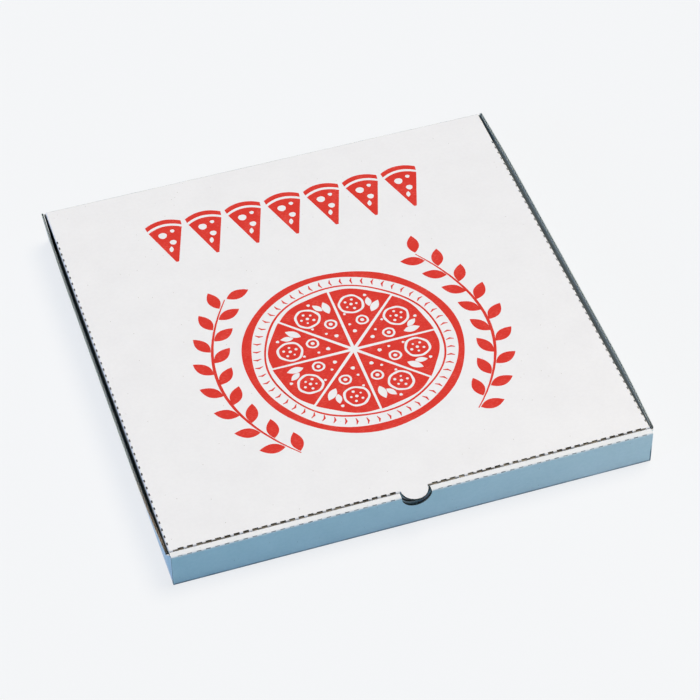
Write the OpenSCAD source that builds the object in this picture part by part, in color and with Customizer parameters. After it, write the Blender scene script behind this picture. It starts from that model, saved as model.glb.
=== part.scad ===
// Shallow square folding carton for one pizza, cut and folded from a single sheet
// of fine-fluted corrugated board: a tray with a rolled front wall, and a lid that
// lifts at the rear fold. Millimetres. Origin under the middle of the base, +Z up,
// front at -Y.

/* [Carton] */
// Width of the base and of the front wall
box_w = 330; // [240:1:420]
// Outside depth, front to rear
box_d = 337; // [240:1:420]
// Outside height
box_h = 28; // [24:0.5:45]

/* [Board] */
// Thickness of the corrugated board
board = 1.5; // [1.3:0.1:1.9]
// Outside radius of a creased fold
fold_r = 1.2; // [0.6:0.1:1.3]
// Space left between two layers that lie together
layer_gap = 0.3; // [0.2:0.05:0.6]
// Length of one wave of the fluting
flute_pitch = 3.4; // [2.8:0.1:4.5]
// Thickness of a facing sheet
liner = 0.25; // [0.15:0.05:0.35]
// Thickness of the wavy sheet between the facings
medium = 0.25; // [0.15:0.05:0.4]
// Depth to which the flutes stand open in a raw edge
flute_depth = 2; // [1:0.5:3]

/* [Walls] */
// Drop of the side walls below the top of the lid
side_drop = 0.3; // [0:0.1:1.5]
// Outward lean of a side wall's top edge along its middle
side_lean = 4.6; // [3:0.1:6]
// Outward lean of a side wall's top edge at its front end
corner_lean = 2.4; // [1.5:0.1:3]
// Outward lean of a side wall's top edge at its rear end
rear_lean = 3.2; // [2.4:0.1:6]
// Length over which a side wall's lean grows from an end
twist_len = 75; // [20:1:100]
// Length of a side wall's ear, held inside the rolled front wall
front_ear = 70; // [40:1:100]
// Length of a rear wall's ear, inside the side wall
rear_ear = 26; // [15:1:40]
// Height cut away above and below an ear
ear_relief = 1; // [0.5:0.1:2]
// Drop of a rear ear's upper edge below the lid panel
rear_ear_drop = 9; // [4:0.5:12]
// Radius of the finger notch in the front wall
notch_r = 10.3; // [9.8:0.1:14]

/* [Locking tabs] */
// Width of a tab under the rolled front wall
tab_w = 40; // [20:1:60]
// Distance of a tab's middle from the middle of the wall
tab_x = 95; // [60:1:110]
// Play round a tab in its slot
tab_play = 0.4; // [0.3:0.1:1]

/* [Lid] */
// Gap between the lid's side edge and the end of a side wall's top edge
side_play = 0.7; // [0.5:0.1:2]
// Gap between the lid's front edge and the rolled wall
front_play = 0.5; // [0.4:0.1:2]
// Depth of the lid's flaps below the top of the lid
flap_depth = 20; // [15:0.5:21]
// Slant of a flap's two ends
flap_slant = 6; // [2:0.5:12]
// Inward lean of a flap's lower edge, which clears the walls as the lid swings
flap_lean = 2; // [1.8:0.1:4]
// Room between two flaps at a front corner
corner_relief = 1.5; // [1:0.5:8]
// Room between a side flap and the rear ear behind it
rear_relief = 4; // [2:0.5:15]
// Radius of the thumb tongue
tongue_r = 9.2; // [7:0.1:9.4]
// Gap across the mitred rear fold
hinge_gap = 0.3; // [0.2:0.05:0.6]

/* [Cut creases] */
// Distance from one slit to the next
slit_pitch = 6.2; // [5:0.1:9]
// Length of a slit in the lid's front fold
slit_len = 3.9; // [2:0.1:4.5]
// Size of the corner that stands open at a slit in the lid's front fold
slit_size = 1.1; // [0.6:0.1:1.2]
// Length of a slit in the rolled wall's folds
roll_slit_len = 3; // [2:0.1:4.5]
// Size of the corner that stands open at a slit in the rolled wall's folds
roll_slit = 0.6; // [0.4:0.1:1.1]
// Length of a slit in the lid's side folds
side_slit_len = 2.2; // [1:0.1:4.5]
// Width of a slit in the lid's side folds
side_slit_w = 1; // [0.4:0.1:1.2]
// Depth of a slit in the lid's side folds
side_slit_depth = 0.8; // [0.4:0.1:1.1]
// Distance of a slit in the lid's side folds from the lid's edge
side_slit_set = 0.4; // [0.2:0.1:2]
// Uncut length at each end of a crease
slit_margin = 2; // [1:0.5:8]

/* [Hidden] */
half_w = box_w / 2;
half_d = box_d / 2;
// Whole thickness of the rolled front wall: outer wall, ear and inner wall
strip = 3 * board + 2 * layer_gap;
under_lid = box_h - board;
side_h = box_h - side_drop;
// Front face of an ear inside the rolled wall
ear_y = -half_d + board + layer_gap;
// Front end of a side wall's full height, just behind the rolled wall
wall_y0 = -half_d + strip + layer_gap;
// Half width of what lies between the side walls
wall_in = half_w - board - layer_gap;
lid_half = half_w + corner_lean - board - side_play;
lid_front = -half_d + strip + front_play;
side_flap_y0 = lid_front + board + corner_relief;
side_flap_y1 = half_d - rear_ear - rear_relief;
front_flap_half = lid_half - board - corner_relief;
lean = atan(flap_lean / flap_depth);
// Vertical half of the gap across the mitre
mitre = hinge_gap / sqrt(2);
// Length of the two legs of a fold's section
leg = 2 * board;
// Places along a side wall, front to rear, each with its top edge's outward shift there
bends = concat(
    [[ear_y + fold_r, 0]],
    [for (t = [0 : 0.25 : 1]) [wall_y0 + t * twist_len, eased(corner_lean, side_lean, t)]],
    [for (t = [1 : -0.25 : 0]) [half_d - t * twist_len, eased(rear_lean, side_lean, t)]]
);
// Share of the top edge's shift at the middle of the open flutes
flute_share = (side_h - flute_depth / 2 - fold_r) / (side_h - fold_r);
// Reach of a cutting shape past the surface it opens
over = 0.5;
side_row = side_flap_y1 - side_flap_y0;
$fn = 64;

white = [0.93, 0.93, 0.92];

// Value at share t of the way from a to b, quick at first and slow at the end.
function eased(a, b, t) = a + (b - a) * sin(90 * t);

// What a fold's round takes off a square corner at the origin, with board along +X and +Y.
module corner_round() {
    difference() {
        translate([-over, -over])
            square(fold_r + over);
        translate([fold_r, fold_r])
            circle(r = fold_r);
    }
}

// Section through a fold: outside corner at the origin, legs along +X and +Y.
module elbow(leg_x, leg_y) {
    difference() {
        union() {
            square([leg_x, board]);
            square([board, leg_y]);
        }
        corner_round();
    }
}

// Draws its section, given in Y and Z, along X, centred.
module along_x(length) {
    translate([-length / 2, 0, 0])
        rotate([90, 0, 90])
            linear_extrude(length)
                children();
}

// Draws its section, given in X and Z, along Y from y0 to y1.
module along_y(y0, y1) {
    translate([0, y1, 0])
        rotate([90, 0, 0])
            linear_extrude(y1 - y0)
                children();
}

// Draws its children on the right and, mirrored, on the left.
module both_sides() {
    children();
    mirror([1, 0, 0])
        children();
}

// Cutting comb for one row of slits: the row along +X, the slits' depth along +Y.
module slit_comb(length, slot, depth, width) {
    count = floor((length - 2 * slit_margin - slot) / slit_pitch) + 1;
    start = (length - (count - 1) * slit_pitch - slot) / 2;
    last = start + (count - 1) * slit_pitch + slot;
    teeth = [
        for (i = [0 : count - 1])
            for (p = [[0, -over / 2], [0, depth], [slot, depth], [slot, -over / 2]])
                [start + i * slit_pitch + p[0], p[1]]
    ];
    linear_extrude(width)
        polygon(concat([[start - over, -over], [start - over, -over / 2]], teeth,
            [[last + over, -over / 2], [last + over, -over]]));
}

// Slits in a top fold at y that faces front (-1) or rear (1), from middle to end on both sides.
module slits_x(y, facing, middle, end, slot, size) {
    both_sides()
        translate([middle, y, box_h - size])
            mirror([0, facing > 0 ? 1 : 0, 0])
                slit_comb(end - middle, slot, size, size + over);
}

// Section of the strip over the rolled wall, round at both edges.
module strip_section() {
    difference() {
        translate([-half_d, under_lid])
            square([strip, board]);
        translate([-half_d, box_h])
            mirror([0, 1])
                corner_round();
        translate([-half_d + strip, box_h])
            rotate(180)
                corner_round();
    }
}

// Middle of the right side wall's open flutes at y.
function flute_mid(y) = half_w - board / 2 + flute_share * lookup(y, bends);

// Slot between the facings of the right side wall, along its raw top edge.
module flute_slot(y0, y1) {
    ys = concat([y0], [for (b = bends) if (b[0] > y0 && b[0] < y1) b[0]], [y1]);
    last = len(ys) - 1;
    reach = board / 2 - liner;
    linear_extrude(flute_depth + over)
        polygon(concat(
            [for (i = [0 : last]) [flute_mid(ys[i]) - reach, ys[i]]],
            [for (i = [last : -1 : 0]) [flute_mid(ys[i]) + reach, ys[i]]]
        ));
}

// Wavy sheet of the board, seen where the flutes end in the raw top edge.
module flute_wave(y0, y1) {
    swing = board / 2 - liner;
    half = 0.6 * medium;
    steps = floor(2 * (y1 - y0) / flute_pitch);
    ys = [for (i = [0 : steps]) y0 + i * flute_pitch / 2];
    xs = [for (i = [0 : steps]) flute_mid(ys[i]) + (i % 2 == 0 ? -swing : swing)];
    linear_extrude(flute_depth - 0.1 + over)
        polygon(concat(
            [for (i = [0 : steps]) [xs[i] - half, ys[i]]],
            [for (i = [steps : -1 : 0]) [xs[i] + half, ys[i]]]
        ));
}

// Right side wall above its fold, upright at the front corner and leaning out behind it.
module leaning_wall() {
    last = len(bends) - 1;
    points = [
        for (b = bends)
            for (p = [[-board, fold_r], [0, fold_r], [b[1], side_h], [b[1] - board, side_h]])
                [half_w + p[0], b[0], p[1]]
    ];
    sides = [
        for (i = [0 : last - 1])
            for (k = [0 : 3])
                for (t = [[k, (k + 1) % 4, (k + 1) % 4 + 4], [k, (k + 1) % 4 + 4, k + 4]])
                    [for (j = t) 4 * i + j]
    ];
    polyhedron(points, concat([[3, 2, 1, 0]], sides, [[for (k = [0 : 3]) 4 * last + k]]));
}

module side_wall() {
    flute_y0 = wall_y0 + over;
    flute_y1 = half_d - over;
    difference() {
        union() {
            along_y(ear_y + fold_r, half_d)
                translate([half_w, 0])
                    mirror([1, 0])
                        elbow(leg, board);
            leaning_wall();
            translate([half_w, ear_y, board + ear_relief])
                mirror([1, 0, 0])
                    linear_extrude(under_lid - board - layer_gap - 2 * ear_relief)
                        elbow(front_ear, leg);
        }
        translate([half_w - board - over, ear_y, under_lid - layer_gap])
            cube([board + corner_lean + 2 * over, wall_y0 - ear_y, board + layer_gap + over]);
        translate([0, 0, side_h - flute_depth])
            flute_slot(flute_y0, flute_y1);
    }
    translate([0, 0, side_h - flute_depth - over])
        flute_wave(flute_y0 + over, flute_y1 - over);
}

// End of the rear wall beside the right side wall, cut to that wall's lean.
module rear_wall_end() {
    low = board;
    high = under_lid - layer_gap;
    slope = rear_lean / (side_h - fold_r);
    translate([wall_in, half_d, 0])
        rotate([90, 0, 0])
            linear_extrude(board)
                polygon([
                    [-leg, low],
                    [slope * (low - fold_r), low],
                    [slope * (high - fold_r), high],
                    [-leg, high]
                ]);
}

module rear_wall() {
    both_sides()
        rear_wall_end();
    along_x(2 * (wall_in - fold_r))
        difference() {
            translate([half_d, 0])
                mirror([1, 0])
                    elbow(leg, box_h);
            translate([half_d, box_h])
                rotate(180)
                    corner_round();
            polygon([
                [half_d - leg, box_h - leg - mitre],
                [half_d + leg, box_h + leg - mitre],
                [half_d - leg, box_h + leg - mitre]
            ]);
        }
    both_sides()
        translate([wall_in, half_d, board + ear_relief])
            rotate([0, 0, 180])
                linear_extrude(under_lid - board - ear_relief - rear_ear_drop)
                    elbow(leg, rear_ear);
}

module front_wall() {
    difference() {
        union() {
            along_x(box_w)
                translate([-half_d, 0])
                    elbow(leg, under_lid);
            along_x(box_w)
                strip_section();
            along_x(2 * wall_in)
                translate([-half_d + strip - board, board + layer_gap])
                    square([board, box_h - fold_r - board - layer_gap]);
        }
        translate([0, -half_d + strip + over, box_h])
            rotate([90, 0, 0])
                cylinder(r = notch_r, h = strip + 2 * over);
        slits_x(-half_d, -1, notch_r, half_w, roll_slit_len, roll_slit);
        slits_x(-half_d + strip, 1, notch_r, half_w, roll_slit_len, roll_slit);
    }
    both_sides()
        translate([tab_x - tab_w / 2, -half_d + strip - board, layer_gap])
            cube([tab_w, board, leg]);
}

module tray() {
    color(white)
        union() {
            difference() {
                translate([-half_w + fold_r, -half_d + fold_r, 0])
                    cube([box_w - 2 * fold_r, box_d - 2 * fold_r, board]);
                both_sides()
                    translate([tab_x - tab_w / 2 - tab_play, -half_d + strip - board - tab_play, -over])
                        cube([tab_w + 2 * tab_play, board + 2 * tab_play, board + 2 * over]);
            }
            front_wall();
            rear_wall();
            both_sides()
                side_wall();
        }
}

// Section of the lid panel, round at the front edge and at the mitred rear edge.
module panel_section() {
    difference() {
        polygon([
            [lid_front, under_lid],
            [half_d - board - mitre, under_lid],
            [half_d - mitre, box_h],
            [lid_front, box_h]
        ]);
        translate([lid_front, box_h])
            mirror([0, 1])
                corner_round();
        translate([half_d, box_h])
            rotate(180)
                corner_round();
    }
}

module lid_panel() {
    intersection() {
        along_x(2 * lid_half)
            panel_section();
        along_y(lid_front - over, half_d)
            difference() {
                translate([-lid_half, under_lid])
                    square([2 * lid_half, board]);
                both_sides()
                    translate([lid_half, box_h])
                        rotate(180)
                            corner_round();
            }
    }
}

// Flap inside the right side wall, leaning in.
module lid_side_flap() {
    translate([lid_half, 0, box_h])
        rotate([0, lean, 0])
            translate([-board, 0, 0])
                rotate([90, 0, 90])
                    linear_extrude(board)
                        polygon([
                            [side_flap_y0, -fold_r],
                            [side_flap_y1, -fold_r],
                            [side_flap_y1 - flap_slant, -flap_depth],
                            [side_flap_y0 + flap_slant, -flap_depth]
                        ]);
}

// Flap that tucks in behind the rolled wall, leaning in.
module lid_front_flap() {
    translate([0, lid_front, box_h])
        rotate([lean, 0, 0])
            difference() {
                translate([0, board, 0])
                    rotate([90, 0, 0])
                        linear_extrude(board)
                            polygon([
                                [-front_flap_half, -fold_r],
                                [front_flap_half, -fold_r],
                                [front_flap_half - flap_slant, -flap_depth],
                                [-front_flap_half + flap_slant, -flap_depth]
                            ]);
                translate([0, board + over, 0])
                    rotate([90, 0, 0])
                        cylinder(r = tongue_r, h = board + 2 * over);
            }
}

// Round tongue that stays level with the lid when its front flap folds down.
module thumb_tongue() {
    translate([0, lid_front, under_lid])
        linear_extrude(board)
            union() {
                difference() {
                    circle(r = tongue_r);
                    translate([-box_w / 2, 0])
                        square([box_w, tongue_r + over]);
                }
                translate([-tongue_r, 0])
                    square([2 * tongue_r, leg]);
            }
}

module lid() {
    color(white)
        difference() {
            union() {
                lid_panel();
                lid_front_flap();
                thumb_tongue();
                both_sides()
                    lid_side_flap();
            }
            slits_x(lid_front, -1, tongue_r, front_flap_half, slit_len, slit_size);
            both_sides()
                translate([lid_half - side_slit_set, side_flap_y0, box_h])
                    rotate([-90, 0, 90])
                        slit_comb(side_row, side_slit_len, side_slit_depth, side_slit_w);
        }
}

tray();
lid();
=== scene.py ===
"""Looks of a white corrugated pizza carton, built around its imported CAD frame.

The tray and lid keep their CAD solids and get board materials. The script adds the red
lid print, the strip of board that bends in the rear crease, the floor, light and camera.
"""

import math

import bmesh
import bpy
from mathutils import Matrix, Vector


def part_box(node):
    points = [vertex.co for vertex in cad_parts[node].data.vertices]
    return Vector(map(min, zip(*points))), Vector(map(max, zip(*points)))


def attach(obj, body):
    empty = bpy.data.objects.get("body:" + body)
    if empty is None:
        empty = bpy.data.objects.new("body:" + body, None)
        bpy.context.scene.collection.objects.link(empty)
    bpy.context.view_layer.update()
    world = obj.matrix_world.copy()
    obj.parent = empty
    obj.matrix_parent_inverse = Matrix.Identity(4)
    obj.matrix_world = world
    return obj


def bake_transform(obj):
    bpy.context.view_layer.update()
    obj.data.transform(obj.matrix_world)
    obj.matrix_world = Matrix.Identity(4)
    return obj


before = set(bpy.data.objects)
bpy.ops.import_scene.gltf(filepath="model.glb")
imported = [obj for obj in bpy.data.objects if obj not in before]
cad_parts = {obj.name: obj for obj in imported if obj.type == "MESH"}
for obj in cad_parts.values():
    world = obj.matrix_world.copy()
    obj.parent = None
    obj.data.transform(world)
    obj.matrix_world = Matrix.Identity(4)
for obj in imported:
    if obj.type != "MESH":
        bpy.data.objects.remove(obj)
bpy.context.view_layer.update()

MM = 0.001

# Sizes of the carton that the frame's boxes don't give, as in the part's source.
BOARD = 1.5 * MM
LINER = 0.25 * MM
FOLD_R = 1.2 * MM
LAYER_GAP = 0.3 * MM
FLUTE_PITCH = 3.4 * MM
FLUTE_DEPTH = 2.0 * MM
SIDE_DROP = 0.3 * MM
SIDE_LEAN = 4.6 * MM
SIDE_SLIT_SET = 0.4 * MM
SIDE_SLIT_WIDTH = 1.0 * MM
SIDE_SLIT_DEPTH = 0.8 * MM
NOTCH_R = 10.3 * MM
TONGUE_R = 9.2 * MM
FLAP_LEAN = 2.0 * MM
CORNER_RELIEF = 1.5 * MM
SIDE_FLAP_REAR = 30 * MM
HINGE_GAP = 0.3 * MM

# Places worked out from the frame's boxes, where the front is towards -Y.
tray_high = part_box("tray")[1]
lid_low, lid_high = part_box("lid")
TOP = tray_high.z
HALF_D = tray_high.y
HALF_W = tray_high.x - SIDE_LEAN
STRIP = 3 * BOARD + 2 * LAYER_GAP
ROLL_BACK = -HALF_D + STRIP
REAR_HALF = HALF_W - BOARD - LAYER_GAP - FOLD_R
SIDE_TOP = TOP - SIDE_DROP
UNDER_LID = TOP - BOARD
LID_HALF = lid_high.x
LID_FRONT = lid_low.y + TONGUE_R
LID_REACH = -LID_FRONT
FRONT_FLAP_HALF = LID_HALF - BOARD - CORNER_RELIEF

# Margin round a face that a material picks out.
SKIN = 0.06 * MM

# Sizes, places and strengths of the marks that the materials paint on the board.
WAVE_HALF = 0.15625 * MM
CORE_HALF = BOARD / 2 - LINER
FLUTE_TURN = 2 * math.pi / FLUTE_PITCH
FOLD_SPAN = 1.248 * MM
SLIT_STEP = 0.2 * MM
# Reach and drop of the line of painted shade on the lower round of the lid's front fold.
FOLD_SHADE_REACH = 0.504 * MM
FOLD_SHADE_DROP = 0.192 * MM
CORNER_SHADE = 11 * MM
CORNER_SHADE_SHARE = 0.9
STAIN_REAR = -80 * MM
STAIN_FRONT = -135 * MM
STAIN_SHARE = 0.75
# Painted shade up the right end of the front wall: its width, and the heights where it starts and is
# full.
END_SHADE_WIDTH = 0.9 * MM
END_SHADE_START = 0.60 * TOP
END_SHADE_FULL = 0.35 * TOP

# How squarely a face looks along an axis: 1 is straight along it, 0 is edge on.
TURNED = 0.3
HALFWAY = 0.5
LEVEL = 0.7
MOSTLY = 0.9
NEARLY = 0.95
FULLY = 0.98
EDGE_ON = 0.04

# Colours, as linear red, green and blue.
WHITE = (0.843, 0.829, 0.846, 1)
WHITE_DEEP = (0.800, 0.785, 0.804, 1)
WALL_DEEP = (0.735, 0.748, 0.768, 1)
INSIDE = (0.372, 0.412, 0.412, 1)
INSIDE_DEEP = (0.305, 0.340, 0.340, 1)
RIM = (0.590, 0.640, 0.640, 1)
MEDIUM = (0.440, 0.485, 0.475, 1)
RAW_BROWN = (0.330, 0.215, 0.125, 1)
# Near black of raw board: painted shade in the open flute cells, in the side walls' flute slots and near
# their front corners, and the dark end of the raw paper's grain.
RAW_DARK_AND_SHADE = (0.050, 0.056, 0.053, 1)
# Raw edges in painted shade: the rims of the finger notch and of the lid's tongue.
RAW_IN_SHADE = (0.085, 0.062, 0.042, 1)
# Painted shade in the slits of the lid's front fold, dark and paler in patches.
SLIT_SHADE = (0.090, 0.075, 0.058, 1)
SLIT_SHADE_PALE = (0.330, 0.285, 0.220, 1)
# Painted shade in the slits of the lid's side folds, paler on the right.
SIDE_SLIT_SHADE = (0.130, 0.125, 0.115, 1)
SIDE_SLIT_SHADE_PALE = (0.420, 0.415, 0.410, 1)
# Painted shade on the lower round of the lid's front fold.
FOLD_SHADE = (0.230, 0.200, 0.160, 1)
# Cool painted shade along the foot of the walls and up the right end of the front wall.
WALL_SHADE = (0.150, 0.185, 0.230, 1)
# Cool painted shade in the slits of the rolled wall's top folds, paler in patches.
ROLL_SLIT_SHADE = (0.130, 0.150, 0.180, 1)
ROLL_SLIT_SHADE_PALE = (0.460, 0.490, 0.520, 1)
SPECK = (0.420, 0.390, 0.360, 1)
RED = (0.675, 0.040, 0.029, 1)
RED_THIN = (0.815, 0.116, 0.095, 1)
FLOOR_GLOW = (0.772, 0.779, 0.793, 1)
FLOOR_SEEN = (0.135, 0.137, 0.139, 1)
FLOOR_BOUNCE = (0.250, 0.515, 0.660, 1)

# Uneven patterns: how many waves to a metre, how fine, and the stretch along each axis.
PAPER_CLOUDS = {"scale": 38, "detail": 4}
PAPER_FIBRES = {"scale": 1, "detail": 4, "stretch": (160, 1500, 1500)}
PAPER_GRAIN = {"scale": 420, "detail": 3}
RAW_GRAIN = {"scale": 900, "detail": 2}
RIM_GRAIN = {"scale": 500, "detail": 2}
BUMP_GRAIN = {"scale": 1, "detail": 5, "stretch": (500, 2200, 2200)}
BUMP_DENTS = {"scale": 55, "detail": 2}
BOARD_SHEEN = {"scale": 120, "detail": 3}
FOLD_SHADE_BREAKS = {"scale": 1, "detail": 3, "stretch": (70, 1, 1)}
FOOT_PATCHES = {"scale": 60, "detail": 2}
ROLL_SLIT_PATCHES = {"scale": 1, "detail": 2, "stretch": (110, 1, 1)}
LID_SLIT_PATCHES = {"scale": 1, "detail": 2, "stretch": (45, 1, 1)}
INK_GRAIN = {"scale": 1, "detail": 4, "stretch": (420, 1500, 1500)}
INK_CLOUDS = {"scale": 70, "detail": 3}

# The part of each pattern's range that is used, from none of a mark to all of it.
CLOUD_RANGE = (0.35, 0.70)
GRAIN_RANGE = (0.35, 0.65)
SHEEN_RANGE = (0.3, 0.7)
FOLD_SHADE_RANGE = (0.40, 0.56)
FOOT_RANGE = (0.3, 0.6)
ROLL_SLIT_PATCH_RANGE = (0.35, 0.62)
LID_SLIT_PATCH_RANGE = (0.42, 0.68)
INK_THIN_RANGE = (0.50, 0.78)

# Shares of the patterns in the paper's tone, its bump and the ink.
CLOUD_SHARE = 0.5
FIBRE_SHARE = 0.4
GRAIN_SHARE = 0.3
PALE_SHARE = 0.1
FOOT_SHARES = (0.5, 1.0)
BUMP_FLUTE_SHARE = 0.10
BUMP_GRAIN_SHARE = 0.35
BUMP_STRENGTH = 0.35
BUMP_HEIGHT = 0.12 * MM
INK_GRAIN_SHARE = 0.6
INK_CLOUD_SHARE = 0.4

# Specks: cells to a metre, a speck's reach in its cell, and the share of cells that hold one.
SPECK_CELLS = 330
SPECK_REACH = 0.085
WHITE_SPECKS = 0.10
GREY_SPECKS = 0.25
CREASE_SPECKS = 0.3

# Roughness from smoothest to roughest, and gloss.
BOARD_ROUGHNESS = (0.58, 0.70)
BOARD_GLOSS = 0.20
INK_ROUGHNESS = (0.80, 0.90)
INK_GLOSS = 0.08
FLOOR_ROUGHNESS = 0.9
FLOOR_GLOSS = 0.0


class NodeKit:
    """Adds nodes to one tree and links them as they are made."""

    MIX_FACTOR, MIX_FIRST, MIX_SECOND, MIX_RESULT = 0, 6, 7, 2

    def __init__(self, tree):
        self.tree = tree

    def feed(self, socket, value):
        if isinstance(value, bpy.types.NodeSocket):
            self.tree.links.new(value, socket)
        else:
            socket.default_value = value

    def add(self, kind, inputs=None, **settings):
        node = self.tree.nodes.new(kind)
        for name, value in settings.items():
            setattr(node, name, value)
        for key, value in (inputs or {}).items():
            self.feed(node.inputs[key], value)
        return node

    def calc(self, operation, *values):
        node = self.add("ShaderNodeMath", operation=operation)
        for socket, value in zip(node.inputs, values):
            self.feed(socket, value)
        return node.outputs[0]

    def above(self, value, limit):
        return self.calc("GREATER_THAN", value, limit)

    def below(self, value, limit):
        return self.calc("LESS_THAN", value, limit)

    def between(self, value, low, high):
        return self.all_of(self.above(value, low), self.below(value, high))

    def all_of(self, first, *others):
        for other in others:
            first = self.calc("MULTIPLY", first, other)
        return first

    def any_of(self, first, *others):
        for other in others:
            first = self.calc("MAXIMUM", first, other)
        return first

    def blend(self, factor, first, second):
        inputs = {self.MIX_FACTOR: factor, self.MIX_FIRST: first, self.MIX_SECOND: second}
        node = self.add("ShaderNodeMix", inputs, data_type="RGBA")
        return node.outputs[self.MIX_RESULT]

    def spread(self, value, low, high, to_low=0.0, to_high=1.0):
        keys = ("Value", "From Min", "From Max", "To Min", "To Max")
        node = self.add("ShaderNodeMapRange", dict(zip(keys, (value, low, high, to_low, to_high))))
        return node.outputs["Result"]

    def noise(self, point, scale, detail, stretch=(1, 1, 1)):
        mapped = self.add("ShaderNodeMapping", {"Vector": point, "Scale": stretch})
        node = self.add("ShaderNodeTexNoise",
                        {"Vector": mapped.outputs["Vector"], "Scale": scale, "Detail": detail})
        return node.outputs[0]


def new_material(name):
    material = bpy.data.materials.new(name)
    material.use_nodes = True
    kit = NodeKit(material.node_tree)
    return material, kit, material.node_tree.nodes["Principled BSDF"]


def add_piece(name, data):
    """An object for a mesh or other data, put in the scene at the origin."""
    piece = bpy.data.objects.new(name, data)
    bpy.context.scene.collection.objects.link(piece)
    return piece


class Surface:
    """A board surface's place and facing, and its distance from two boards' middles, as sockets."""

    def __init__(self, kit):
        coords = kit.add("ShaderNodeTexCoord")
        self.point = coords.outputs["Object"]
        place = kit.add("ShaderNodeSeparateXYZ", {"Vector": self.point})
        self.x, self.y, self.z = place.outputs
        self.side = kit.calc("ABSOLUTE", self.x)
        self.front = kit.calc("MULTIPLY", self.y, -1)
        facing = kit.add("ShaderNodeSeparateXYZ", {"Vector": coords.outputs["Normal"]})
        self.facing_x = kit.calc("ABSOLUTE", facing.outputs["X"])
        self.facing_y = kit.calc("ABSOLUTE", facing.outputs["Y"])
        self.facing_z = kit.calc("ABSOLUTE", facing.outputs["Z"])
        sideways = kit.calc("MULTIPLY", kit.calc("SIGN", self.x), facing.outputs["X"])
        self.outward = kit.above(sideways, TURNED)
        self.forward = kit.below(facing.outputs["Y"], -TURNED)
        self.rearward = kit.above(facing.outputs["Y"], TURNED)
        self.from_panel = kit.calc("SUBTRACT", self.z, TOP - BOARD / 2)
        self.from_wall = kit.calc("SUBTRACT", self.front, HALF_D - BOARD / 2)


def paper_colour(kit, at, tone, deep, speck_share):
    """Facing paper: cloudy tone, fibres that lie along the flutes, and a few specks."""
    clouds = kit.spread(kit.noise(at.point, **PAPER_CLOUDS), *CLOUD_RANGE)
    fibres = kit.noise(at.point, **PAPER_FIBRES)
    grain = kit.spread(kit.noise(at.point, **PAPER_GRAIN), *GRAIN_RANGE)
    fine = kit.calc("MULTIPLY_ADD", fibres, FIBRE_SHARE, kit.calc("MULTIPLY", grain, GRAIN_SHARE))
    depth = kit.calc("MULTIPLY_ADD", clouds, CLOUD_SHARE, kit.calc("SUBTRACT", fine, PALE_SHARE))
    colour = kit.blend(depth, tone, deep)
    cells = kit.add("ShaderNodeTexVoronoi", {"Vector": at.point, "Scale": SPECK_CELLS})
    chosen = kit.add("ShaderNodeSeparateXYZ", {"Vector": cells.outputs["Color"]}).outputs["X"]
    in_speck = kit.below(cells.outputs["Distance"], SPECK_REACH)
    return kit.blend(kit.all_of(in_speck, kit.below(chosen, speck_share)), colour, SPECK)


def raw_edge_colour(kit, at, along, across, tone=MEDIUM):
    """Cut edge of the board: two facings, the wavy sheet between them, and the open flute cells in
    painted shade.
    """
    turn = kit.calc("MULTIPLY", along, FLUTE_TURN)
    wave = kit.calc("MULTIPLY", kit.calc("SINE", turn), CORE_HALF)
    from_wave = kit.calc("ABSOLUTE", kit.calc("SUBTRACT", across, wave))
    on_wave = kit.below(from_wave, WAVE_HALF)
    on_facing = kit.above(kit.calc("ABSOLUTE", across), CORE_HALF)
    paper = kit.blend(kit.noise(at.point, **RAW_GRAIN), tone, RAW_DARK_AND_SHADE)
    # The open flute cells between the facings and the wavy sheet get painted shade.
    return kit.blend(kit.any_of(on_wave, on_facing), RAW_DARK_AND_SHADE, paper)


def board_bump(kit, at):
    """Faint washboard over the flutes, with the grain of the paper on it."""
    not_sideways = kit.calc("SUBTRACT", 1, at.facing_x)
    along = kit.calc("MULTIPLY_ADD", at.z, not_sideways, at.y)
    flutes = kit.calc("SINE", kit.calc("MULTIPLY", along, FLUTE_TURN))
    grain = kit.noise(at.point, **BUMP_GRAIN)
    dents = kit.noise(at.point, **BUMP_DENTS)
    paper = kit.calc("MULTIPLY_ADD", grain, BUMP_GRAIN_SHARE, dents)
    height = kit.calc("MULTIPLY_ADD", flutes, BUMP_FLUTE_SHARE, paper)
    bump = kit.add("ShaderNodeBump",
                   {"Strength": BUMP_STRENGTH, "Distance": BUMP_HEIGHT, "Height": height})
    return bump.outputs["Normal"]


def finish_board(kit, shader, at, colour):
    """Gives a board material its colour, its dull sheen and its bump."""
    kit.feed(shader.inputs["Base Color"], colour)
    sheen = kit.noise(at.point, **BOARD_SHEEN)
    kit.feed(shader.inputs["Roughness"], kit.spread(sheen, *SHEEN_RANGE, *BOARD_ROUGHNESS))
    kit.feed(shader.inputs["Normal"], board_bump(kit, at))
    shader.inputs["Specular IOR Level"].default_value = BOARD_GLOSS


def slit_faces(kit, at, outward, face):
    """Faces of the slits cut in a top fold: level or upright ones inside the fold's round."""
    out_enough = kit.above(outward, face - FOLD_R - SKIN)
    high_enough = kit.above(at.z, TOP - FOLD_R - SKIN)
    level = kit.all_of(kit.above(at.facing_z, NEARLY), kit.below(at.z, TOP - SLIT_STEP))
    upright = kit.all_of(kit.above(at.facing_y, NEARLY), kit.below(outward, face - SLIT_STEP))
    return kit.all_of(out_enough, high_enough, kit.any_of(level, upright))


def fold_shade_line(kit, at):
    """Broken line of painted shade on the lower round of the lid's front fold, where it turns down into
    the gap.
    """
    outer = kit.above(at.front, LID_REACH - FOLD_SHADE_REACH)
    upper = kit.between(at.z, TOP - FOLD_R, TOP - FOLD_SHADE_DROP)
    along_flap = kit.below(at.side, FRONT_FLAP_HALF)
    broken = kit.spread(kit.noise(at.point, **FOLD_SHADE_BREAKS), *FOLD_SHADE_RANGE)
    return kit.all_of(outer, upper, along_flap, broken)


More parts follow.
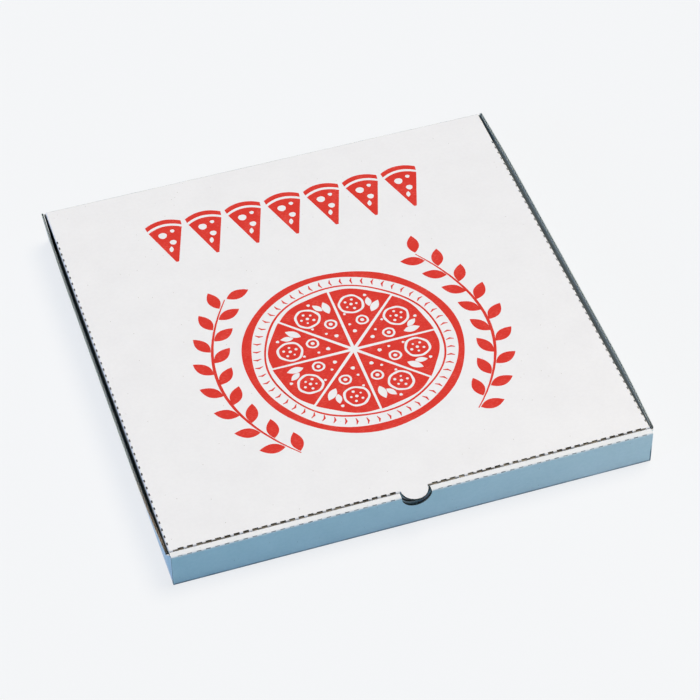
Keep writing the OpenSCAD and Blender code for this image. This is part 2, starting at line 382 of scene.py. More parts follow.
def side_slit_faces(kit, at):
    """Faces of the short slits along the lid's side folds."""
    outer = LID_HALF - SIDE_SLIT_SET
    inner = outer - SIDE_SLIT_WIDTH
    across = kit.between(at.side, inner - SKIN, outer + SKIN)
    down = kit.between(at.z, TOP - SIDE_SLIT_DEPTH - SKIN, TOP - SKIN)
    low_half = kit.below(at.z, TOP - SIDE_SLIT_DEPTH / 2)
    level = kit.all_of(kit.above(at.facing_z, NEARLY), low_half)
    upright = kit.any_of(kit.above(at.facing_x, NEARLY), kit.above(at.facing_y, NEARLY))
    return kit.all_of(across, down, kit.any_of(level, upright))


def open_flute_faces(kit, at):
    """Faces cut into the raw top edge of a side wall: level ones, and upright ones in the slot."""
    near_top = kit.above(at.z, SIDE_TOP - FLUTE_DEPTH - SKIN)
    on_wall = kit.all_of(kit.above(at.y, ROLL_BACK + SKIN), kit.above(at.side, HALF_W - SKIN))
    cut = kit.any_of(kit.above(at.facing_z, LEVEL), kit.below(at.facing_z, EDGE_ON))
    return kit.all_of(near_top, on_wall, cut)


def open_flute_colour(kit, at):
    """Raw paper, painted shade down in the flutes and at the front corner, brown at the left, pale at
    the rim.
    """
    # Painted shade: the flute slots darken from the rim down to near black.
    height = kit.spread(at.z, SIDE_TOP - FLUTE_DEPTH, SIDE_TOP - SKIN)
    paper = kit.blend(height, RAW_DARK_AND_SHADE, MEDIUM)
    rim = kit.blend(kit.noise(at.point, **RIM_GRAIN), RIM, MEDIUM)
    edge = kit.blend(kit.above(at.z, SIDE_TOP - SKIN), paper, rim)
    towards_front = kit.spread(at.y, STAIN_REAR, STAIN_FRONT, 0.0, STAIN_SHARE)
    edge = kit.blend(kit.all_of(kit.below(at.x, 0), towards_front), edge, RAW_BROWN)
    # Painted shade towards the front corner, where the wall runs under the strip's end.
    near_corner = kit.spread(at.y, ROLL_BACK + CORNER_SHADE, ROLL_BACK, 0.0, CORNER_SHADE_SHARE)
    return kit.blend(near_corner, edge, RAW_DARK_AND_SHADE)


def tray_outside(kit, at, rolled):
    """Faces of the tray that carry the white facing: rolled wall, outer walls and underside."""
    outer_side = kit.all_of(at.outward, kit.above(at.side, HALF_W - FOLD_R - SKIN))
    outer_rear = kit.all_of(at.rearward, kit.above(at.y, HALF_D - FOLD_R - SKIN))
    return kit.any_of(rolled, outer_side, outer_rear, kit.below(at.z, SKIN))


def wall_shade_marks(kit, at):
    """Painted shade along the foot of the walls and up the right end of the front wall."""
    patches = kit.spread(kit.noise(at.point, **FOOT_PATCHES), *FOOT_RANGE, *FOOT_SHARES)
    foot = kit.all_of(kit.spread(at.z, 2 * FOLD_R, FOLD_R), patches)
    right_end = kit.all_of(at.forward, kit.above(at.front, HALF_D - SKIN),
                           kit.above(at.x, HALF_W - END_SHADE_WIDTH),
                           kit.spread(at.z, END_SHADE_START, END_SHADE_FULL))
    return kit.any_of(foot, right_end)


def with_roll_ends(kit, at, rolled, colour):
    """A colour with the cut ends of the front wall and of the strip over it painted in."""
    sheet_end = kit.all_of(kit.above(at.facing_x, MOSTLY), rolled, kit.above(at.side, HALF_W - SKIN))
    wall_end = kit.all_of(sheet_end, kit.above(at.front, HALF_D - BOARD - SKIN))
    colour = kit.blend(wall_end, colour, raw_edge_colour(kit, at, at.z, at.from_wall))
    strip_end = kit.all_of(sheet_end, kit.above(at.z, UNDER_LID - SKIN))
    return kit.blend(strip_end, colour, raw_edge_colour(kit, at, at.y, at.from_panel))


def with_roll_slits(kit, at, rolled, colour):
    """A colour with the slits in the rolled wall's two top folds filled with cool painted shade, paler
    in patches.
    """
    slits = kit.any_of(slit_faces(kit, at, at.front, HALF_D), slit_faces(kit, at, at.y, ROLL_BACK))
    pale_patches = kit.spread(kit.noise(at.point, **ROLL_SLIT_PATCHES), *ROLL_SLIT_PATCH_RANGE)
    return kit.blend(kit.all_of(slits, rolled), colour, kit.blend(pale_patches, ROLL_SLIT_SHADE, ROLL_SLIT_SHADE_PALE))


def with_notch_rim(kit, at, rolled, colour):
    """A colour with the cut rim of the finger notch painted in, in painted shade."""
    drop = kit.calc("SUBTRACT", TOP, at.z)
    squares = kit.calc("ADD", kit.calc("POWER", at.x, 2), kit.calc("POWER", drop, 2))
    rim = kit.all_of(rolled, kit.below(kit.calc("SQRT", squares), NOTCH_R + SKIN))
    round_way = kit.calc("MULTIPLY", kit.calc("ARCTAN2", at.x, drop), NOTCH_R)
    return kit.blend(rim, colour, raw_edge_colour(kit, at, round_way, at.from_wall, RAW_IN_SHADE))


def tray_board():
    """White facing outside and over the rolled wall, grey facing inside, raw edges, painted shade at the
    foot, in the slits, flutes and notch.
    """
    material, kit, shader = new_material("tray_board")
    at = Surface(kit)
    rolled = kit.below(at.y, ROLL_BACK + SKIN)
    outside = tray_outside(kit, at, rolled)
    white = paper_colour(kit, at, WHITE, WALL_DEEP, WHITE_SPECKS)
    grey = paper_colour(kit, at, INSIDE, INSIDE_DEEP, GREY_SPECKS)
    colour = kit.blend(outside, grey, white)
    # Painted shade along the foot of the walls and up the right end of the front wall.
    colour = kit.blend(kit.all_of(outside, wall_shade_marks(kit, at)), colour, WALL_SHADE)
    colour = kit.blend(open_flute_faces(kit, at), colour, open_flute_colour(kit, at))
    colour = with_roll_ends(kit, at, rolled, colour)
    colour = with_roll_slits(kit, at, rolled, colour)
    colour = with_notch_rim(kit, at, rolled, colour)
    finish_board(kit, shader, at, colour)
    return material


def lid_outside(kit, at):
    """Faces of the lid that carry the white facing: top, folds and the flaps' outer faces."""
    over_side = kit.above(kit.calc("ADD", at.side, at.z), LID_HALF + TOP - FOLD_SPAN)
    over_front = kit.above(kit.calc("ADD", at.front, at.z), LID_REACH + TOP - FOLD_SPAN)
    side_flap = kit.all_of(at.outward, kit.above(at.side, LID_HALF - BOARD - FLAP_LEAN),
                           kit.above(at.facing_x, FULLY))
    front_flap = kit.all_of(at.forward, kit.above(at.front, LID_REACH - BOARD - FLAP_LEAN),
                            kit.above(at.facing_y, FULLY))
    return kit.any_of(kit.above(at.z, TOP - SKIN), over_side, over_front, side_flap, front_flap)


def lid_cut_faces(kit, at):
    """Faces of the lid left by the die: the flaps' rims, and the side edges beyond the flaps."""
    flap_rim = kit.all_of(kit.below(at.z, UNDER_LID - BOARD), kit.below(at.facing_x, FULLY),
                          kit.below(at.facing_y, FULLY))
    past_flap = kit.any_of(kit.below(at.y, LID_FRONT + BOARD + CORNER_RELIEF),
                           kit.above(at.y, HALF_D - SIDE_FLAP_REAR))
    side_edge = kit.all_of(past_flap, kit.above(at.side, LID_HALF - SKIN),
                           kit.above(at.facing_x, MOSTLY))
    return kit.any_of(flap_rim, side_edge)


def with_lid_slits(kit, at, colour):
    """A colour with the slits in the lid's front and side folds filled with painted shade, paler in
    patches and on the right.
    """
    pale_patches = kit.spread(kit.noise(at.point, **LID_SLIT_PATCHES), *LID_SLIT_PATCH_RANGE)
    front_slits = slit_faces(kit, at, at.front, LID_REACH)
    colour = kit.blend(front_slits, colour, kit.blend(pale_patches, SLIT_SHADE, SLIT_SHADE_PALE))
    # Painted shade in the side slits, paler on the right.
    side_slit = kit.blend(kit.above(at.x, 0), SIDE_SLIT_SHADE, SIDE_SLIT_SHADE_PALE)
    return kit.blend(side_slit_faces(kit, at), colour, side_slit)


def lid_board():
    """White facing on top and on the flaps' outer faces, grey facing under the lid, painted shade in the
    slits, along the front fold and on the tongue's rim.
    """
    material, kit, shader = new_material("lid_board")
    at = Surface(kit)
    white = paper_colour(kit, at, WHITE, WHITE_DEEP, WHITE_SPECKS)
    grey = paper_colour(kit, at, INSIDE, INSIDE_DEEP, GREY_SPECKS)
    colour = kit.blend(lid_outside(kit, at), grey, white)
    colour = kit.blend(lid_cut_faces(kit, at), colour, raw_edge_colour(kit, at, at.y, at.from_panel))
    # A broken line of painted shade on the lower round of the front fold.
    colour = kit.blend(fold_shade_line(kit, at), colour, FOLD_SHADE)
    colour = with_lid_slits(kit, at, colour)
    # The tongue's cut rim in painted shade, like the notch rim.
    tongue_rim = kit.all_of(kit.below(at.facing_z, HALFWAY), kit.above(at.front, LID_REACH + SKIN))
    tongue_raw = raw_edge_colour(kit, at, at.x, at.from_panel, RAW_IN_SHADE)
    finish_board(kit, shader, at, kit.blend(tongue_rim, colour, tongue_raw))
    return material


def crease_board():
    """Crushed board in the rear crease: grey facing paper with more specks."""
    material, kit, shader = new_material("crease_board")
    at = Surface(kit)
    finish_board(kit, shader, at, paper_colour(kit, at, INSIDE, INSIDE_DEEP, CREASE_SPECKS))
    return material


def print_ink():
    """Matt red printing ink, thinner in places where the board's grain shows through."""
    material, kit, shader = new_material("print_ink")
    at = Surface(kit)
    grain = kit.noise(at.point, **INK_GRAIN)
    clouds = kit.noise(at.point, **INK_CLOUDS)
    uneven = kit.calc("MULTIPLY_ADD", grain, INK_GRAIN_SHARE,
                      kit.calc("MULTIPLY", clouds, INK_CLOUD_SHARE))
    thin = kit.spread(uneven, *INK_THIN_RANGE)
    kit.feed(shader.inputs["Base Color"], kit.blend(thin, RED, RED_THIN))
    kit.feed(shader.inputs["Roughness"], kit.spread(clouds, *SHEEN_RANGE, *INK_ROUGHNESS))
    kit.feed(shader.inputs["Normal"], board_bump(kit, at))
    shader.inputs["Specular IOR Level"].default_value = INK_GLOSS
    return material


# Ink of the lid print, and how far it stands proud of the lid.
INK = print_ink()
INK_HALF = 0.02 * MM

# Middle of the printed pizza. The print's own sizes and places are numbers of millimetres.
PIZZA_X, PIZZA_Y = 2, -32

# A line drawn by hand: waves of its wobble to a turn, and the width of a stroke's tips.
SLOW_WAVES, FAST_WAVES = 3, 7
FAST_SHARE = 0.6
TIP_SHARE = 0.35

# Two lines round the pizza.
CRUST_R, CRUST_LINE = 76, 5.5
SAUCE_R, SAUCE_LINE = 62, 1.4
RING_STEPS = 128
CRUST_OUTER = {"radius": CRUST_R, "count": RING_STEPS, "wobble": 0.5, "phase": 0.4}
CRUST_INNER = {"radius": CRUST_R - CRUST_LINE, "count": RING_STEPS, "wobble": 0.6, "phase": 1.7}
SAUCE_OUTER = {"radius": SAUCE_R, "count": RING_STEPS, "wobble": 0.7, "phase": 2.3}
SAUCE_INNER = {"radius": SAUCE_R - SAUCE_LINE, "count": RING_STEPS, "wobble": 0.7, "phase": 2.4}

# Short strokes on the crust.
MARK_STROKE = [(-2.8, -0.7), (0, 0.5), (2.8, -0.2)]
MARK_WIDTH = 1.5
MARK_R = 66.2
MARK_TURN = 0.05
MARKS_PER_SLICE = 7

# One slice and its toppings, with the slice along +X from the pizza's middle.
SLICES, SLICE_R, SLICE_GAP = 8, 56, 2.0
SLICE_TIP = 1.0
EDGE_STEPS, EDGE_WAVE, EDGE_WAVES = 24, 0.7, 9
SAUSAGE_AT = (41, 5.2)
SAUSAGE_RINGS = [
    {"radius": 9.2, "count": 40, "wobble": 0.25, "phase": 0.9},
    {"radius": 7.5, "count": 36, "wobble": 0.25, "phase": 1.4},
]
FLECK_TURN = 1.26
FLECKS = [(0, 1.2), (4.4, 1.0), (4.0, 0.8), (4.6, 1.1), (3.8, 0.9), (4.5, 1.0)]
OLIVE_AT = (26.5, -3.6)
OLIVE_RINGS = [
    {"radius": 4.6, "count": 28, "wobble": 0.12, "phase": 0.3},
    {"radius": 3.1, "count": 24, "wobble": 0.10, "phase": 0.8},
    {"radius": 1.4, "count": 16},
]
SLICE_LEAVES = [
    {"long": 12, "wide": 5.6, "place": (35, -9.4), "turn": -18},
    {"long": 9, "wide": 4.4, "place": (40, -7.6), "turn": 14},
]
SLICE_DOTS = [((15.5, 0.6), 1.5), ((50.5, -3.5), 1.2), ((31.0, 9.0), 1.0), ((21.5, 4.6), 1.0)]
DOT_STEPS = 12
DOT_WOBBLE = 0.1

# Row of wedges along the rear of the lid, each curve as its start, middle and end.
BAND_Y, BAND_COUNT, BAND_SPACING = 112, 7, 29.5
WEDGE_STEPS = 14
RIM_UPPER = ((-13.2, 17), (0, 25.5), (13.2, 17))
RIM_LOWER = ((12.7, 12.8), (0, 21.0), (-12.7, 12.8))
WEDGE_UPPER = ((-12.2, 10.6), (0, 18.6), (12.2, 10.6))
WEDGE_TIP = [(1.0, -23), (-1.0, -23)]
WEDGE_ROUNDS = [((-3.2, 5.6), 3.0, 24), ((2.2, -3.0), 2.4, 20), ((4.6, 8.4), 1.6, 16)]
WEDGE_LEAF = {"long": 6, "wide": 3, "place": (-1.6, -12.5), "turn": 75}

# Right sprig, whose mirror image is the left one.
SPRIG_STEM = ((62, -78), (126, -8), (70, 74))
STEM_STEPS, STEM_WIDTH = 24, 2.2
STEM_RESOLUTION = 48
SPRIG_LEAVES, SPRIG_LEAN = 17, 0.75
SPRIG_LEAF = {"long": 17.5, "wide": 8.5, "place": (1.5, 0)}

# Every leaf: how far along it the belly lies, and the points on each side.
LEAF_BELLY = 0.45
LEAF_STEPS = 12


def ring_points(radius, count, wobble=0.0, phase=0.0):
    """A closed round line, a little uneven as if drawn by hand."""
    points = []
    for step in range(count):
        turn = 2 * math.pi * step / count
        slow = math.sin(SLOW_WAVES * turn + phase)
        fast = math.sin(FAST_WAVES * turn + 2 * phase)
        reach = radius + wobble * (slow + FAST_SHARE * fast)
        points.append((reach * math.cos(turn), reach * math.sin(turn)))
    return points


def moved(points, dx, dy, turn=0.0):
    """Points turned about the origin by an angle in degrees, then moved."""
    c = math.cos(math.radians(turn))
    s = math.sin(math.radians(turn))
    return [(c * x - s * y + dx, s * x + c * y + dy) for x, y in points]


def ribbon(points, width):
    """The closed outline of a stroke along points, tapered at both ends."""
    left, right = [], []
    last = len(points) - 1
    for i, (x, y) in enumerate(points):
        x0, y0 = points[max(i - 1, 0)]
        x1, y1 = points[min(i + 1, last)]
        length = math.hypot(x1 - x0, y1 - y0)
        half = width / 2 * (TIP_SHARE + (1 - TIP_SHARE) * math.sin(math.pi * i / last))
        nx, ny = -(y1 - y0) / length * half, (x1 - x0) / length * half
        left.append((x + nx, y + ny))
        right.append((x - nx, y - ny))
    return left + right[::-1]


def bezier(start, middle, end, count):
    """Points of a curve bent towards its middle point."""
    points = []
    for step in range(count):
        t = step / (count - 1)
        a, b, c = (1 - t) ** 2, 2 * t * (1 - t), t * t
        points.append(tuple(a * s + b * m + c * e for s, m, e in zip(start, middle, end)))
    return points


def leaf_outline(long, wide, place, turn=0.0):
    """A pointed leaf that starts at a place, turned there from +X by an angle in degrees."""
    belly = LEAF_BELLY * long
    upper = bezier((0, 0), (belly, wide), (long, 0), LEAF_STEPS)
    lower = bezier((long, 0), (belly, -wide), (0, 0), LEAF_STEPS)
    return moved(upper + lower[1:-1], *place, turn)


def ink_plate(name, outlines):
    """A thin plate of ink from closed outlines in millimetres; one inside another is a hole."""
    curve = bpy.data.curves.new(name, "CURVE")
    curve.dimensions = "2D"
    curve.fill_mode = "BOTH"
    curve.extrude = INK_HALF
    for outline in outlines:
        spline = curve.splines.new("POLY")
        spline.points.add(len(outline) - 1)
        for point, (x, y) in zip(spline.points, outline):
            point.co = (x * MM, y * MM, 0, 1)
        spline.use_cyclic_u = True
    drawn = add_piece(name, curve)
    evaluated = drawn.evaluated_get(bpy.context.evaluated_depsgraph_get())
    mesh = bpy.data.meshes.new_from_object(evaluated)
    bpy.data.objects.remove(drawn)
    mesh.materials.clear()
    mesh.materials.append(INK)
    return add_piece(name, mesh)


def geometry_tree(name, inputs):
    """An empty Geometry Nodes tree with named inputs, its kit and its two end nodes."""
    tree = bpy.data.node_groups.new(name, "GeometryNodeTree")
    tree.interface.new_socket("Geometry", in_out="INPUT", socket_type="NodeSocketGeometry")
    for label, kind in inputs:
        tree.interface.new_socket(label, in_out="INPUT", socket_type=kind)
    tree.interface.new_socket("Geometry", in_out="OUTPUT", socket_type="NodeSocketGeometry")
    kit = NodeKit(tree)
    return tree, kit, kit.add("NodeGroupInput"), kit.add("NodeGroupOutput")


def end_tree(kit, group_out, instances, group_in):
    """Makes a tree's copies real, inks them and hands them out."""
    real = kit.add("GeometryNodeRealizeInstances", {"Geometry": instances})
    inked = kit.add("GeometryNodeSetMaterial",
                    {"Geometry": real.outputs["Geometry"], "Material": group_in.outputs["Ink"]})
    kit.feed(group_out.inputs["Geometry"], inked.outputs["Geometry"])


def ring_of_marks_tree():
    """Sets copies of a mark round a circle, each turned to point outwards."""
    tree, kit, group_in, group_out = geometry_tree("ring_of_marks", [
        ("Count", "NodeSocketInt"), ("Radius", "NodeSocketFloat"),
        ("First Turn", "NodeSocketFloat"), ("Ink", "NodeSocketMaterial")])
    circle = kit.add("GeometryNodeMeshCircle",
                     {"Vertices": group_in.outputs["Count"], "Radius": group_in.outputs["Radius"]})
    turn = kit.add("ShaderNodeCombineXYZ", {"Z": group_in.outputs["First Turn"]})
    turned = kit.add("GeometryNodeTransform",
                     {"Geometry": circle.outputs["Mesh"], "Rotation": turn.outputs["Vector"]})
    outwards = kit.add("FunctionNodeAlignRotationToVector",
                       {"Vector": kit.add("GeometryNodeInputPosition").outputs["Position"]},
                       axis="X", pivot_axis="Z")
    copies = kit.add("GeometryNodeInstanceOnPoints", {
        "Points": turned.outputs["Geometry"], "Instance": group_in.outputs["Geometry"],
        "Rotation": outwards.outputs["Rotation"]})
    end_tree(kit, group_out, copies.outputs["Instances"], group_in)
    return tree


def row_of_marks_tree():
    """Sets copies of a mark in a straight row, centred on its middle."""
    tree, kit, group_in, group_out = geometry_tree("row_of_marks", [
        ("Count", "NodeSocketInt"), ("Spacing", "NodeSocketFloat"), ("Ink", "NodeSocketMaterial")])
    step = kit.add("ShaderNodeCombineXYZ", {"X": group_in.outputs["Spacing"]})
    gaps = kit.calc("SUBTRACT", group_in.outputs["Count"], 1)
    length = kit.calc("MULTIPLY", gaps, group_in.outputs["Spacing"])
    start = kit.add("ShaderNodeCombineXYZ", {"X": kit.calc("MULTIPLY", length, -1 / 2)})
    line = kit.add("GeometryNodeMeshLine", {
        "Count": group_in.outputs["Count"], "Start Location": start.outputs["Vector"],
        "Offset": step.outputs["Vector"]})
    copies = kit.add("GeometryNodeInstanceOnPoints", {
        "Points": line.outputs["Mesh"], "Instance": group_in.outputs["Geometry"]})
    end_tree(kit, group_out, copies.outputs["Instances"], group_in)
    return tree


def leaves_on_stem_tree():
    """Sets leaves along a bent stem, leaning to the left and right in turn."""
    tree, kit, group_in, group_out = geometry_tree("leaves_on_stem", [
        ("Start", "NodeSocketVector"), ("Middle", "NodeSocketVector"), ("End", "NodeSocketVector"),
        ("Count", "NodeSocketInt"), ("Lean", "NodeSocketFloat"), ("Ink", "NodeSocketMaterial")])
    stem = kit.add("GeometryNodeCurveQuadraticBezier", {
        "Resolution": STEM_RESOLUTION, "Start": group_in.outputs["Start"],
        "Middle": group_in.outputs["Middle"], "End": group_in.outputs["End"]})
    spots = kit.add("GeometryNodeCurveToPoints",
                    {"Curve": stem.outputs["Curve"], "Count": group_in.outputs["Count"]})
    forward = kit.add("FunctionNodeAlignRotationToVector", {"Vector": spots.outputs["Tangent"]},
                      axis="X", pivot_axis="Z")
    odd = kit.calc("MODULO", kit.add("GeometryNodeInputIndex").outputs["Index"], 2)
    sign = kit.calc("MULTIPLY_ADD", odd, 2, -1)
    lean = kit.add("ShaderNodeCombineXYZ",
                   {"Z": kit.calc("MULTIPLY", sign, group_in.outputs["Lean"])})
    aimed = kit.add("FunctionNodeRotateRotation", {
        "Rotation": forward.outputs["Rotation"], "Rotate By": lean.outputs["Vector"]},
        rotation_space="LOCAL")
    copies = kit.add("GeometryNodeInstanceOnPoints", {
        "Points": spots.outputs["Points"], "Instance": group_in.outputs["Geometry"],
        "Rotation": aimed.outputs["Rotation"]})
    end_tree(kit, group_out, copies.outputs["Instances"], group_in)
    return tree


def spread_by(plate, tree, **values):
    """Runs a tree on a plate of ink and keeps the result as its plain mesh."""
    modifier = plate.modifiers.new(tree.name, "NODES")
    modifier.node_group = tree
    values["ink"] = INK
    for item in tree.interface.items_tree:
        label = item.name.replace(" ", "_").lower()
        if label in values:
            modifier[item.identifier] = values[label]
    evaluated = plate.evaluated_get(bpy.context.evaluated_depsgraph_get())
    mesh = bpy.data.meshes.new_from_object(evaluated)
    plate.modifiers.clear()
    plate.data = mesh
    return plate


def placed(plate, x, y):
    """Moves a plate's mesh to its place on the lid, in millimetres from the lid's middle."""
    plate.data.transform(Matrix.Translation((x * MM, y * MM, TOP)))
    return plate


def join_plates(name, plates):
    """One piece of ink from several plates."""
    whole = bmesh.new()
    for plate in plates:
        whole.from_mesh(plate.data)
        bpy.data.objects.remove(plate)
    mesh = bpy.data.meshes.new(name)
    whole.to_mesh(mesh)
    whole.free()
    mesh.materials.append(INK)
    return add_piece(name, mesh)


def crust_plates():
    """The broad line of the crust and the fine line of the sauce."""
    crust = [ring_points(**CRUST_OUTER), ring_points(**CRUST_INNER)]
    sauce = [ring_points(**SAUCE_OUTER), ring_points(**SAUCE_INNER)]
    return [ink_plate("crust", crust), ink_plate("sauce_line", sauce)]


def slice_edge():
    """The outline of one slice: its tip, and its round edge with a slight wave."""
    half_turn = math.pi / SLICES
    outline = [(SLICE_TIP, 0)]
    for step in range(EDGE_STEPS + 1):
        turn = half_turn * (2 * step / EDGE_STEPS - 1)
        reach = SLICE_R + EDGE_WAVE * math.sin(EDGE_WAVES * turn)
        outline.append((reach * math.cos(turn), SLICE_R * math.sin(turn)))
    return outline


def sausage_outlines():
    """A round of sausage about the origin: two rings and the flecks in it."""
    outlines = [ring_points(**ring) for ring in SAUSAGE_RINGS]
    for step, (reach, size) in enumerate(FLECKS):
        turn = FLECK_TURN * step
        fleck = ring_points(size, DOT_STEPS)
        outlines.append(moved(fleck, reach * math.cos(turn), reach * math.sin(turn)))
    return outlines


def slice_outlines():
    """One slice along +X with bare rounds, rings, leaves and dots in its red."""
    olive = [ring_points(**ring) for ring in OLIVE_RINGS]
    outlines = [slice_edge()]
    outlines += [moved(line, *SAUSAGE_AT) for line in sausage_outlines()]
    outlines += [moved(line, *OLIVE_AT) for line in olive]
    outlines += [leaf_outline(**leaf) for leaf in SLICE_LEAVES]
    outlines += [moved(ring_points(size, DOT_STEPS, DOT_WOBBLE), *place) for place, size in SLICE_DOTS]
    return outlines


def topping_plates(ring):
    """The slices and the marks on the crust, each set in a ring."""
    slices = ink_plate("slices", slice_outlines())
    marks = ink_plate("crust_marks", [ribbon(MARK_STROKE, MARK_WIDTH)])
    return [
        spread_by(slices, ring, count=SLICES, radius=SLICE_GAP * MM, first_turn=math.pi / SLICES),
        spread_by(marks, ring, count=MARKS_PER_SLICE * SLICES, radius=MARK_R * MM,
                  first_turn=MARK_TURN),
    ]


def band_plates(row):
    """A row of plain wedges, each with a round rim, bare rounds and a leaf."""
    rim = bezier(*RIM_UPPER, WEDGE_STEPS) + bezier(*RIM_LOWER, WEDGE_STEPS)
    wedge = [bezier(*WEDGE_UPPER, WEDGE_STEPS) + WEDGE_TIP]
    wedge += [moved(ring_points(size, steps, DOT_WOBBLE), *place) for place, size, steps in WEDGE_ROUNDS]
    wedge.append(leaf_outline(**WEDGE_LEAF))
    plates = []
    for name, outlines in (("wedge_rims", [rim]), ("wedges", wedge)):
        plate = ink_plate(name, outlines)
        plates.append(spread_by(plate, row, count=BAND_COUNT, spacing=BAND_SPACING * MM))
    return plates


def sprig_plates(stem_tree):
    """A leafy sprig on each side of the pizza, bent to follow it."""
    plates = []
    for name, side in (("left_sprig", -1), ("right_sprig", 1)):
        stem = [(side * x, y) for x, y in SPRIG_STEM]
        start, middle, end = [(x * MM, y * MM, 0) for x, y in stem]
        leaves = ink_plate(name, [leaf_outline(**SPRIG_LEAF)])
        plates.append(spread_by(leaves, stem_tree, count=SPRIG_LEAVES, lean=SPRIG_LEAN,
                                start=start, middle=middle, end=end))
        plates.append(ink_plate(name + "_stem", [ribbon(bezier(*stem, STEM_STEPS), STEM_WIDTH)]))
    return plates


def lid_print():
    """The whole red print as one piece that moves with the lid."""
    round_parts = crust_plates() + topping_plates(ring_of_marks_tree())
    round_parts += sprig_plates(leaves_on_stem_tree())
    plates = [placed(plate, PIZZA_X, PIZZA_Y) for plate in round_parts]
    plates += [placed(plate, 0, BAND_Y) for plate in band_plates(row_of_marks_tree())]
    piece = join_plates("lid_print", plates)
    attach(piece, "lid")
    return piece


# Strip in the rear crease: how far its two edges lie in from the hinge line.
CREASE_NEAR = 0.55 * MM
CREASE_FAR = 1.85 * MM
CREASE_STEPS = 8
CREASE_HALF_GAP = HINGE_GAP / 2 + SKIN
CREASE_HALF_LENGTH = REAR_HALF - SKIN
HINGE = Vector((0, HALF_D, TOP))
MITRE_ACROSS = Vector((0, -1, 1)).normalized()
MITRE_ALONG = Vector((0, -1, -1)).normalized()


def crease_section():
    """The strip's outline across the fold: out along its near edge and back along its far one."""
    forwards = range(CREASE_STEPS + 1)
    section = []
    for reach, order in ((CREASE_NEAR, forwards), (CREASE_FAR, reversed(forwards))):
        for step in order:
            offset = CREASE_HALF_GAP * (2 * step / CREASE_STEPS - 1)
            section.append(HINGE + MITRE_ALONG * reach + MITRE_ACROSS * offset)
    return section


def crease_mesh(section):
    """The closed strip: walls along the fold, and ends in narrow faces."""
    strip = bmesh.new()
    ends = []
    for x in (-CREASE_HALF_LENGTH, CREASE_HALF_LENGTH):
        ends.append([strip.verts.new((x, p.y, p.z)) for p in section])
    count = len(section)
    for i in range(count):
        j = (i + 1) % count
        strip.faces.new((ends[0][i], ends[0][j], ends[1][j], ends[1][i]))
    for i in range(CREASE_STEPS):
        for end in ends:
            strip.faces.new((end[i], end[i + 1], end[count - 2 - i], end[count - 1 - i]))
    bmesh.ops.recalc_face_normals(strip, faces=strip.faces)
    mesh = bpy.data.meshes.new("rear_crease")
    strip.to_mesh(mesh)
    strip.free()
    return mesh


def rear_crease(material):
    """The board's bent strip in the rear fold: fills the mitre."""
    mesh = crease_mesh(crease_section())
    mesh.materials.append(material)
    piece = add_piece("rear_crease", mesh)
    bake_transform(piece)
    return piece


def dress_nodes():
    """Gives the CAD tray and lid their board materials."""
    for name, material in (("tray", tray_board()), ("lid", lid_board())):
        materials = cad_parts[name].data.materials
        materials.clear()
        materials.append(material)


def seen_directly(kit):
    """One for rays from the camera, a gloss or a glass, nought for rays that only give light."""
    path = kit.add("ShaderNodeLightPath")
    return kit.any_of(path.outputs["Is Camera Ray"], path.outputs["Is Glossy Ray"],
                      path.outputs["Is Transmission Ray"])


# Half the side of the floor, in metres.
FLOOR_HALF = 4.0


def floor_stage():
    """Pale floor: the camera sees an even tone with a faint shadow, the walls a cool bounce."""
    material, kit, shader = new_material("pale_floor")
    seen = seen_directly(kit)
    kit.feed(shader.inputs["Base Color"], kit.blend(seen, FLOOR_BOUNCE, FLOOR_SEEN))
    kit.feed(shader.inputs["Emission Strength"], seen)
    shader.inputs["Emission Color"].default_value = FLOOR_GLOW
    shader.inputs["Roughness"].default_value = FLOOR_ROUGHNESS
    shader.inputs["Specular IOR Level"].default_value = FLOOR_GLOSS
    mesh = bpy.data.meshes.new("floor")
    corners = [(x * FLOOR_HALF, y * FLOOR_HALF, 0) for x, y in ((-1, -1), (1, -1), (1, 1), (-1, 1))]
    mesh.from_pydata(corners, [], [(0, 1, 2, 3)])
    mesh.materials.append(material)
    floor = add_piece("floor", mesh)


# Light: aims are directions, spreads are in degrees, places and sizes are in metres.
SKY = (0.125, 0.252, 0.357, 1)
ROOM_SEEN = (0.913, 0.921, 0.938, 1)
ROOM_STRENGTH = 1.0
SOFT_SUN = (0.911, 0.784, 0.627)
SOFT_SUN_AIM = (-0.35, -0.20, -1)
SOFT_SUN_SPREAD = 35
SIDE_FILL = (0.150, 0.170, 0.300)
SIDE_FILL_AIM = (1, 0.15, -0.25)
SIDE_FILL_SPREAD = 25
CORNER_FILL = (1.00, 0.88, 0.66)
CORNER_FILL_AT = Vector((0.30, -0.46, 0.12))
CORNER_FILL_TO = Vector((0.14, -0.165, 0.014))
CORNER_FILL_POWER = 0.036
CORNER_FILL_SIZE = 0.16
CORNER_FILL_SPREAD = 75


def turned_to(direction):
    """The turn of a lamp or camera that looks in a direction."""
    return Vector(direction).to_track_quat("-Z", "Y")


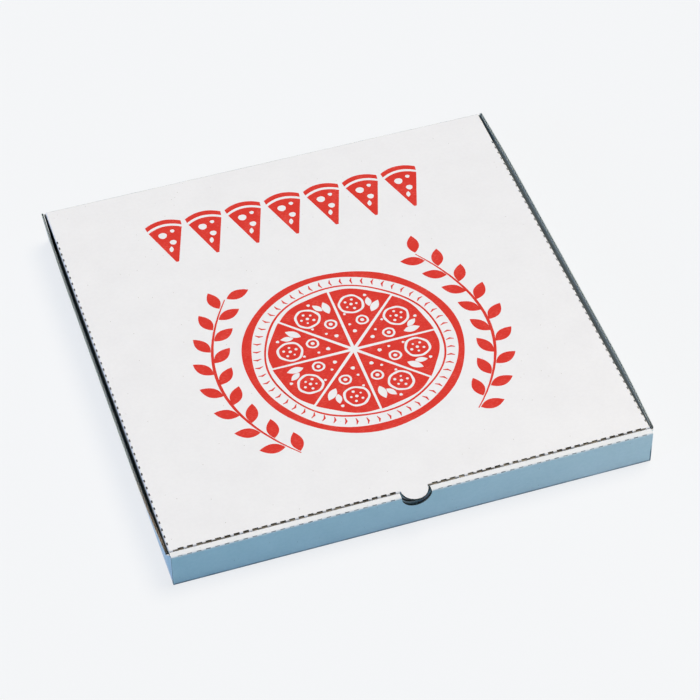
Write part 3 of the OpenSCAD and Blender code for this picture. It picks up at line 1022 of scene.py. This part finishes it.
def sun(name, colour, aim, spread):
    """A far lamp whose colour is the light it gives a face that looks straight at it."""
    lamp = bpy.data.lights.new(name, "SUN")
    peak = max(colour)
    lamp.color = [part / peak for part in colour]
    lamp.energy = math.pi * peak
    lamp.angle = math.radians(spread)
    add_piece(name, lamp).rotation_euler = turned_to(aim).to_euler()


def corner_lamp():
    """A small soft lamp that lifts the right end of the front wall."""
    lamp = bpy.data.lights.new("right_corner_fill", "AREA")
    lamp.color = CORNER_FILL
    lamp.energy = CORNER_FILL_POWER
    lamp.size = CORNER_FILL_SIZE
    lamp.spread = math.radians(CORNER_FILL_SPREAD)
    item = add_piece("right_corner_fill", lamp)
    item.location = CORNER_FILL_AT
    item.rotation_euler = turned_to(CORNER_FILL_TO - CORNER_FILL_AT).to_euler()
    item.visible_camera = False


def studio_light():
    """A cool room, a soft warm light from above and two fills."""
    world = bpy.data.worlds.new("cool_room")
    world.use_nodes = True
    kit = NodeKit(world.node_tree)
    background = world.node_tree.nodes["Background"]
    kit.feed(background.inputs["Color"], kit.blend(seen_directly(kit), SKY, ROOM_SEEN))
    background.inputs["Strength"].default_value = ROOM_STRENGTH
    bpy.context.scene.world = world
    sun("overhead_soft_light", SOFT_SUN, SOFT_SUN_AIM, SOFT_SUN_SPREAD)
    sun("left_fill", SIDE_FILL, SIDE_FILL_AIM, SIDE_FILL_SPREAD)
    corner_lamp()


# Camera: places in metres, roll in degrees, lens and sensor in millimetres.
CAMERA_AT = Vector((-0.37627, -1.22464, 1.33725))
CAMERA_AIM = Vector((-0.00071, -0.03180, 0.028))
CAMERA_ROLL = -0.987
CAMERA_LENS = 136.817
CAMERA_SENSOR = 36


def photo_camera():
    """The camera at the photograph's angle, found from the carton's corners in it."""
    data = bpy.data.cameras.new("photo_camera")
    data.lens = CAMERA_LENS
    data.sensor_width = CAMERA_SENSOR
    camera = add_piece("photo_camera", data)
    look = turned_to(CAMERA_AIM - CAMERA_AT).to_matrix().to_4x4()
    roll = Matrix.Rotation(math.radians(CAMERA_ROLL), 4, "Z")
    camera.matrix_world = Matrix.Translation(CAMERA_AT) @ look @ roll
    bpy.context.scene.camera = camera


bpy.context.scene.view_settings.view_transform = "Standard"
dress_nodes()
lid_print()
rear_crease(crease_board())
floor_stage()
studio_light()
photo_camera()
